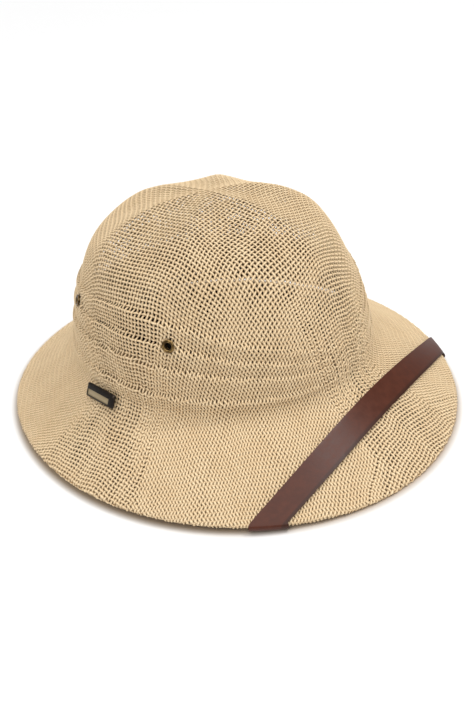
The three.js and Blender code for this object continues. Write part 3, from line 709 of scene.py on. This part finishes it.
def strandPiece(name, runs, tonesAndPaintedShades, finish):
    points, faces, columns, travels, shade = strandMesh(runs)
    mesh = bpy.data.meshes.new(name)
    mesh.vertices.add(len(points))
    mesh.vertices.foreach_set("co", (points * mm).ravel())
    mesh.loops.add(4 * len(faces))
    mesh.loops.foreach_set("vertex_index", faces.ravel())
    mesh.polygons.add(len(faces))
    mesh.polygons.foreach_set("loop_start", 4 * np.arange(len(faces)))
    mesh.polygons.foreach_set("use_smooth", np.ones(len(faces), bool))
    mesh.update(calc_edges=True)
    for layer, places in (("OFBake", columns), ("yarnRun", travels)):
        mesh.uv_layers.new(name=layer).data.foreach_set("uv", places.reshape(-1))
    tone = np.concatenate([np.full(4 * len(run[0]), tone) for run, tone in zip(runs, tonesAndPaintedShades)])
    # the yarns' random tone and their painted shade
    for attribute, values in (("yarnTone", tone), ("paintedYarnShade", shade)):
        mesh.attributes.new(attribute, "FLOAT", "POINT").data.foreach_set("value", values)
    mesh.materials.append(finish)
    mesh.validate()
    piece = bpy.data.objects.new(name, mesh)
    bpy.context.scene.collection.objects.link(piece)
    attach(piece, "root")
    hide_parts("straw_body")
    print(name, len(faces) * 2, "triangles")


def knownRuns(places):  # the unbroken stretches of a line of the net
    known = np.concatenate([[0], (~np.isnan(places[:, 0])).astype(int), [0]])
    edges = np.flatnonzero(np.diff(known))
    return [(start, stop) for start, stop in zip(edges[::2], edges[1::2]) if stop - start > 3]


def roomBeside(here, others):  # distance to the neighbouring yarns, along one yarn
    along = np.gradient(here, axis=0)
    along /= np.linalg.norm(along, axis=1)[:, None]
    rooms = []
    for other in others:
        apart = other - here
        apart -= along * (apart * along).sum(-1)[:, None]
        rooms.append(np.linalg.norm(apart, axis=1))
    known = ~np.isnan(rooms)
    total, count = np.where(known, rooms, 0).sum(0), known.sum(0)
    good = np.flatnonzero(count)
    if len(good) < 2:
        return np.full(len(here), weave["pitch"])
    return np.interp(np.arange(len(here)), good, total[good] / count[good])


def weaveHat():
    random = np.random.default_rng(weave["seed"])
    loose = SmoothField(random, weave["looseLength"])
    finish = strawFinish()
    points = onSheet(clothSheet, np.nan_to_num(cloth))
    points[np.isnan(cloth[..., 0])] = np.nan
    for family, names in enumerate((("strawAcrossBack", "strawAcrossMiddle", "strawAcrossFront"),
                                    ("strawAlongRight", "strawAlongMiddle", "strawAlongLeft"))):
        net = cloth.swapaxes(0, 1) if family == 0 else cloth
        spots = points.swapaxes(0, 1) if family == 0 else points
        yarns = []
        for line in range(1, len(net) - 1):
            tone = random.normal() * straw["toneSpread"] + straw["toneMiddle"]
            for start, stop in knownRuns(net[line]):
                part = slice(start, stop)
                room = roomBeside(spots[line, part], (spots[line + 1, part], spots[line - 1, part]))
                over = (np.arange(start, stop) + line) % 2 == family
                yarns += [(run, tone) for run in yarnShape(net[line, part], over, room, random, loose)]
        total = sum(len(run[0]) for run, tone in yarns)
        share, groups = 0, [[], [], []]
        for run, tone in yarns:
            groups[min(int(3 * share / total), 2)].append((run, tone))
            share += len(run[0])
        for name, members in zip(names, groups):
            strandPiece(name, [run for run, tone in members], [tone for run, tone in members], finish)


weaveHat()
print("straw woven")


# Helpers for the pieces shaped with the program's own tools
def clearSelection():
    if bpy.context.object and bpy.context.object.mode != "OBJECT":
        bpy.ops.object.mode_set(mode="OBJECT")
    bpy.ops.object.select_all(action="DESELECT")


def pick(piece):
    clearSelection()
    piece.select_set(True)
    bpy.context.view_layer.objects.active = piece


def modify(piece, kind, **settings):
    pick(piece)
    modifier = piece.modifiers.new(kind.lower(), kind)
    for name, value in settings.items():
        setattr(modifier, name, value)
    bpy.ops.object.modifier_apply(modifier=modifier.name)


def roundEdges(piece, width, angle=50):
    modify(piece, "BEVEL", width=width, segments=2, limit_method="ANGLE", angle_limit=math.radians(angle))


def soften(piece, levels):
    modify(piece, "SUBSURF", levels=levels, render_levels=levels)
    bpy.ops.object.shade_smooth()


def fit(piece, node, finish):
    piece.data.materials.clear()
    piece.data.materials.append(finish)
    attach(piece, "root")
    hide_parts(node)
    print(piece.name, sum(len(face.vertices) - 2 for face in piece.data.polygons), "triangles")


def copyOfNode(node, name):  # joined up and in quads
    piece = bpy.data.objects.new(name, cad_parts[node].data.copy())
    bpy.context.scene.collection.objects.link(piece)
    pick(piece)
    bpy.ops.object.mode_set(mode="EDIT")
    bpy.ops.mesh.select_all(action="SELECT")
    bpy.ops.mesh.remove_doubles(threshold=0.00001)
    bpy.ops.mesh.tris_convert_to_quads(face_threshold=math.radians(60), shape_threshold=math.radians(60))
    bpy.ops.object.mode_set(mode="OBJECT")
    return piece


# Sweatband: a ribbed ribbon, seen through the straw and from below
ribbon = {
    "color": (0.5, 0.34, 0.2, 1), "dark": (0.36, 0.23, 0.12, 1), "roughness": 0.85, "shine": 0.2,
    "ribs": 520, "ribHeight": 0.00015, "ribShare": 0.2, "bump": 0.7, "patchScale": 120, "edgeRound": 0.0004,
}


def makeRibbon():
    finish = Finish("ribbedRibbon", Roughness=ribbon["roughness"], Specular_IOR_Level=ribbon["shine"])
    places = finish.places()
    sides = {0: finish.part(places, 1), 1: finish.part(places, 0)}
    turn = finish.node("ShaderNodeMath", {"operation": "ARCTAN2"}, sides)
    ribs = finish.sine(turn * ribbon["ribs"])
    patches = finish.noise(places, ribbon["patchScale"])
    share = ribs * ribbon["ribShare"] + patches
    finish.surface(Base_Color=finish.blendColor(share, ribbon["dark"], ribbon["color"]))
    finish.surface(Normal=finish.bump(ribs, ribbon["bump"], ribbon["ribHeight"]))
    piece = copyOfNode("sweatband", "sweatband_ribbon")
    roundEdges(piece, ribbon["edgeRound"])
    soften(piece, 1)
    fit(piece, "sweatband", finish.material)


makeRibbon()
print("sweatband made")


# Strap: satin brown leather, darker along its edges
strap = {
    "frontY": -115.0, "bend": 0.00092, "halfWidth": 6.6,
    "brown": (0.086, 0.0225, 0.0105, 1), "dark": (0.069, 0.018, 0.0085, 1), "edge": (0.045, 0.014, 0.007, 1),
    "grainScale": 1500, "creaseScale": 240, "grainHeight": 0.00005, "grainShare": 0.4, "bump": 0.5,
    "creaseFrom": 0.35, "creaseFull": 0.7, "edgeFrom": 0.84, "shine": 0.25,
    "leastRoughness": 0.23, "roughnessSpread": 0.25, "edgeRound": 0.0003, "shaved": 0.00015,
}


def makeStrap():
    finish = Finish("satinLeather", Specular_IOR_Level=strap["shine"])
    places = finish.places()
    x, y = finish.part(places, 0), finish.part(places, 1)
    middle = y - strap["frontY"] * mm - x * x * (strap["bend"] / mm)
    across = finish.size(middle) * (1 / (strap["halfWidth"] * mm))
    grain = finish.node("ShaderNodeTexVoronoi", None, {"Vector": places, "Scale": strap["grainScale"]})
    creases = finish.noise(places, strap["creaseScale"], 5, 0.6)
    crease = finish.step(creases, strap["creaseFrom"], strap["creaseFull"])
    color = finish.blendColor(crease, strap["dark"], strap["brown"])
    edge = finish.step(across, strap["edgeFrom"], 1)
    finish.surface(Base_Color=finish.blendColor(edge, color, strap["edge"]))
    finish.surface(Roughness=creases * strap["roughnessSpread"] + strap["leastRoughness"])
    height = grain * strap["grainShare"] + creases
    finish.surface(Normal=finish.bump(height, strap["bump"], strap["grainHeight"]))
    piece = copyOfNode("chin_strap", "leather_strap")
    bpy.ops.object.mode_set(mode="EDIT")
    bpy.ops.mesh.select_all(action="SELECT")
    bpy.ops.transform.shrink_fatten(value=-strap["shaved"])
    bpy.ops.object.mode_set(mode="OBJECT")
    roundEdges(piece, strap["edgeRound"])
    soften(piece, 2)
    fit(piece, "chin_strap", finish.material)


makeStrap()
print("strap made")


# Eyelets: a rolled brass ring with a barrel through the straw
brass = {
    "color": (0.30, 0.19, 0.07, 1), "dark": (0.06, 0.034, 0.013, 1), "metal": 0.9,
    "tarnishScale": 700, "tarnishFrom": 0.35, "tarnishFull": 0.65, "tarnishHeight": 0.00008, "bump": 0.25,
    "leastRoughness": 0.15, "roughnessSpread": 0.3,
}


def brassFinish():
    finish = Finish("agedBrass", Metallic=brass["metal"])
    tarnish = finish.noise(finish.places(), brass["tarnishScale"], 4, 0.6)
    share = finish.step(tarnish, brass["tarnishFrom"], brass["tarnishFull"])
    finish.surface(Base_Color=finish.blendColor(share, brass["color"], brass["dark"]))
    finish.surface(Roughness=tarnish * brass["roughnessSpread"] + brass["leastRoughness"])
    finish.surface(Normal=finish.bump(tarnish, brass["bump"], brass["tarnishHeight"]))
    return finish.material


def turnProfile(profile, segments):  # a ring drawn round a profile, extruded and sized from row to row
    clearSelection()
    radius, height = profile[0]
    bpy.ops.mesh.primitive_circle_add(vertices=segments, radius=radius * mm, location=(0, 0, 0))
    piece = bpy.context.object
    bpy.ops.object.mode_set(mode="EDIT")
    bpy.ops.mesh.select_all(action="SELECT")
    bpy.ops.transform.translate(value=(0, 0, height * mm))
    for nextRadius, nextHeight in profile[1:]:
        bpy.ops.mesh.extrude_edges_move(TRANSFORM_OT_translate={"value": (0, 0, (nextHeight - height) * mm)})
        share = nextRadius / radius
        bpy.ops.transform.resize(value=(share, share, 1), center_override=(0, 0, nextHeight * mm))
        radius, height = nextRadius, nextHeight
    bpy.ops.mesh.select_all(action="DESELECT")
    bpy.ops.mesh.select_non_manifold()
    bpy.ops.mesh.bridge_edge_loops()
    bpy.ops.mesh.select_all(action="SELECT")
    bpy.ops.mesh.normals_make_consistent(inside=False)
    bpy.ops.object.mode_set(mode="OBJECT")
    bpy.ops.object.shade_smooth_by_angle(angle=math.radians(50))
    return piece


def makeEyelets():
    finish = brassFinish()
    pattern = turnProfile(eyelet["profile"], eyelet["segments"])
    for node, (middle, outwards) in zip(eyelet["nodes"], eyeletFrames):
        piece = bpy.data.objects.new(node.replace("eyelet", "brass_eyelet"), pattern.data.copy())
        bpy.context.scene.collection.objects.link(piece)
        turn = Vector(outwards).to_track_quat("Z", "Y").to_matrix().to_4x4()
        piece.data.transform(Matrix.Translation(Vector(middle * mm)) @ turn)
        fit(piece, node, finish)
    bpy.data.objects.remove(pattern)


makeEyelets()
print("eyelets made")


# Bar pin: dark rim round a plain pale recess, widened at its top and front end with painted shadow
pin = {
    "length": 27, "height": 8.4, "thickness": 2, "corner": 1.2, "postRadius": 0.6, "postDepth": 3.2,
    "rim": 0.6, "topRimAndShadow": 3.0, "frontRimAndShadow": 3.6, "recess": 0.4, "line": 1.0, "edgeRound": 0.00018, "turn": -3,
    "dark": (0.014, 0.01, 0.007, 1), "darkWorn": (0.06, 0.042, 0.028, 1),
    "pale": (0.66, 0.58, 0.46, 1), "face": (0.36, 0.28, 0.16, 1), "shine": 0.5, "metal": 0.6,
    "wearScale": 500, "wearFrom": 0.5, "wearFull": 0.75, "wearHeight": 0.0001, "bump": 0.2,
    "leastRoughness": 0.3, "roughnessSpread": 0.2, "postSunk": 0.2,
}


def pinFrame():  # axes from the largest faces of the CAD's bar
    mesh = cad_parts["side_pin"].data
    normals = np.array([face.normal[:] for face in mesh.polygons])
    areas = np.array([face.area for face in mesh.polygons])
    middle = nodePoints("side_pin").mean(0)
    outwards = normals[np.argmax(areas * (normals @ (middle * [1, 1, 0]) > 0))]
    flat = abs(normals @ outwards) < 0.1
    up = normals[np.argmax(areas * flat * (normals[:, 2] > 0.3))]
    forwards = np.cross(up, outwards)
    forwards *= -np.sign(forwards[1])
    points = nodePoints("side_pin")
    axes = np.array([forwards, up, outwards])
    spread = points @ axes.T
    low, high = spread.min(0), spread.max(0)
    center = (low + high) / 2
    center[2] = high[2] - pin["thickness"] / 2
    return center @ axes, axes


def metalFinish():
    finish = Finish("blackenedMetal", Specular_IOR_Level=pin["shine"])
    places = finish.places()
    wear = finish.noise(places, pin["wearScale"], 4, 0.6)
    # the dark rim's wide top and front parts are painted shadow as well as blackened rim
    rim = finish.blendColor(finish.step(wear, pin["wearFrom"], pin["wearFull"]), pin["dark"], pin["darkWorn"])
    bare = finish.attribute("bareFace")  # 0 on the rim, 0.5 on the recess's face, 1 on the line round it
    plate = finish.blendColor(finish.step(bare, 0.6, 0.9), pin["face"], pin["pale"])
    finish.surface(Base_Color=finish.blendColor(finish.step(bare, 0.2, 0.4), rim, plate))
    roughness = wear * pin["roughnessSpread"] + pin["leastRoughness"]
    finish.surface(Metallic=(1 - bare) * pin["metal"], Roughness=roughness)
    finish.surface(Normal=finish.bump(wear, pin["bump"], pin["wearHeight"]))
    return finish.material


def makePin():
    clearSelection()
    bpy.ops.mesh.primitive_cube_add(size=1, location=(0, 0, 0))
    piece = bpy.context.object
    piece.name = "bar_pin"
    piece.data.transform(Matrix.Diagonal((pin["length"] * mm, pin["height"] * mm, pin["thickness"] * mm, 1)))
    mesh = piece.data
    bpy.ops.object.mode_set(mode="EDIT")
    bpy.ops.mesh.select_all(action="DESELECT")
    bpy.ops.object.mode_set(mode="OBJECT")
    for edge in mesh.edges:
        one, two = (mesh.vertices[index].co for index in edge.vertices)
        edge.select = abs(one.z - two.z) > 0.001
    bpy.ops.object.mode_set(mode="EDIT")
    bpy.ops.mesh.select_mode(type="EDGE")
    bpy.ops.mesh.bevel(offset=pin["corner"] * mm, segments=5)
    bpy.ops.mesh.select_all(action="DESELECT")
    bpy.ops.object.mode_set(mode="OBJECT")
    for face in mesh.polygons:
        face.select = face.normal.z > 0.9
    bpy.ops.object.mode_set(mode="EDIT")
    bpy.ops.mesh.select_mode(type="FACE")
    bpy.ops.mesh.inset(thickness=pin["rim"] * mm)
    # the rim's top and front parts are widened as painted shadow
    left, right = -pin["length"] / 2 + pin["rim"], pin["length"] / 2 - pin["frontRimAndShadow"]
    low, high = -pin["height"] / 2 + pin["rim"], pin["height"] / 2 - pin["topRimAndShadow"]
    wide = (right - left) / (pin["length"] - 2 * pin["rim"])
    tall = (high - low) / (pin["height"] - 2 * pin["rim"])
    bpy.ops.transform.resize(value=(wide, tall, 1), center_override=(0, 0, 0))
    bpy.ops.transform.translate(value=((left + right) / 2 * mm, (low + high) / 2 * mm, 0))
    bpy.ops.mesh.extrude_region_move(TRANSFORM_OT_translate={"value": (0, 0, -pin["recess"] * mm)})
    bpy.ops.mesh.inset(thickness=pin["line"] * mm)
    bpy.ops.object.mode_set(mode="OBJECT")
    roundEdges(piece, pin["edgeRound"], 40)
    level = (pin["thickness"] / 2 - pin["recess"]) * mm
    sunk = [face for face in mesh.polygons if face.normal.z > 0.9 and abs(face.center.z - level) < 0.0001]
    plate = max(sunk, key=lambda face: face.area)
    bare = np.zeros(len(mesh.polygons))
    for face in sunk:
        bare[face.index] = 0.5 if face == plate else 1
    mesh.attributes.new("bareFace", "FLOAT", "FACE").data.foreach_set("value", bare)
    clearSelection()
    at = (0, 0, -(pin["postDepth"] / 2 + pin["postSunk"]) * mm)
    bpy.ops.mesh.primitive_cylinder_add(vertices=16, radius=pin["postRadius"] * mm,
                                        depth=pin["postDepth"] * mm, location=at)
    post = bpy.context.object
    post.data.transform(post.matrix_world)
    post.matrix_world = Matrix()
    post.data.attributes.new("bareFace", "FLOAT", "FACE")
    clearSelection()
    post.select_set(True)
    piece.select_set(True)
    bpy.context.view_layer.objects.active = piece
    bpy.ops.object.join()
    center, axes = pinFrame()
    place = Matrix(axes.T.tolist()).to_4x4() @ Matrix.Rotation(math.radians(pin["turn"]), 4, "Z")
    piece.data.transform(Matrix.Translation(Vector(center * mm)) @ place)
    pick(piece)
    bpy.ops.object.shade_smooth_by_angle(angle=math.radians(30))
    fit(piece, "side_pin", metalFinish())


makePin()
print("pin made")
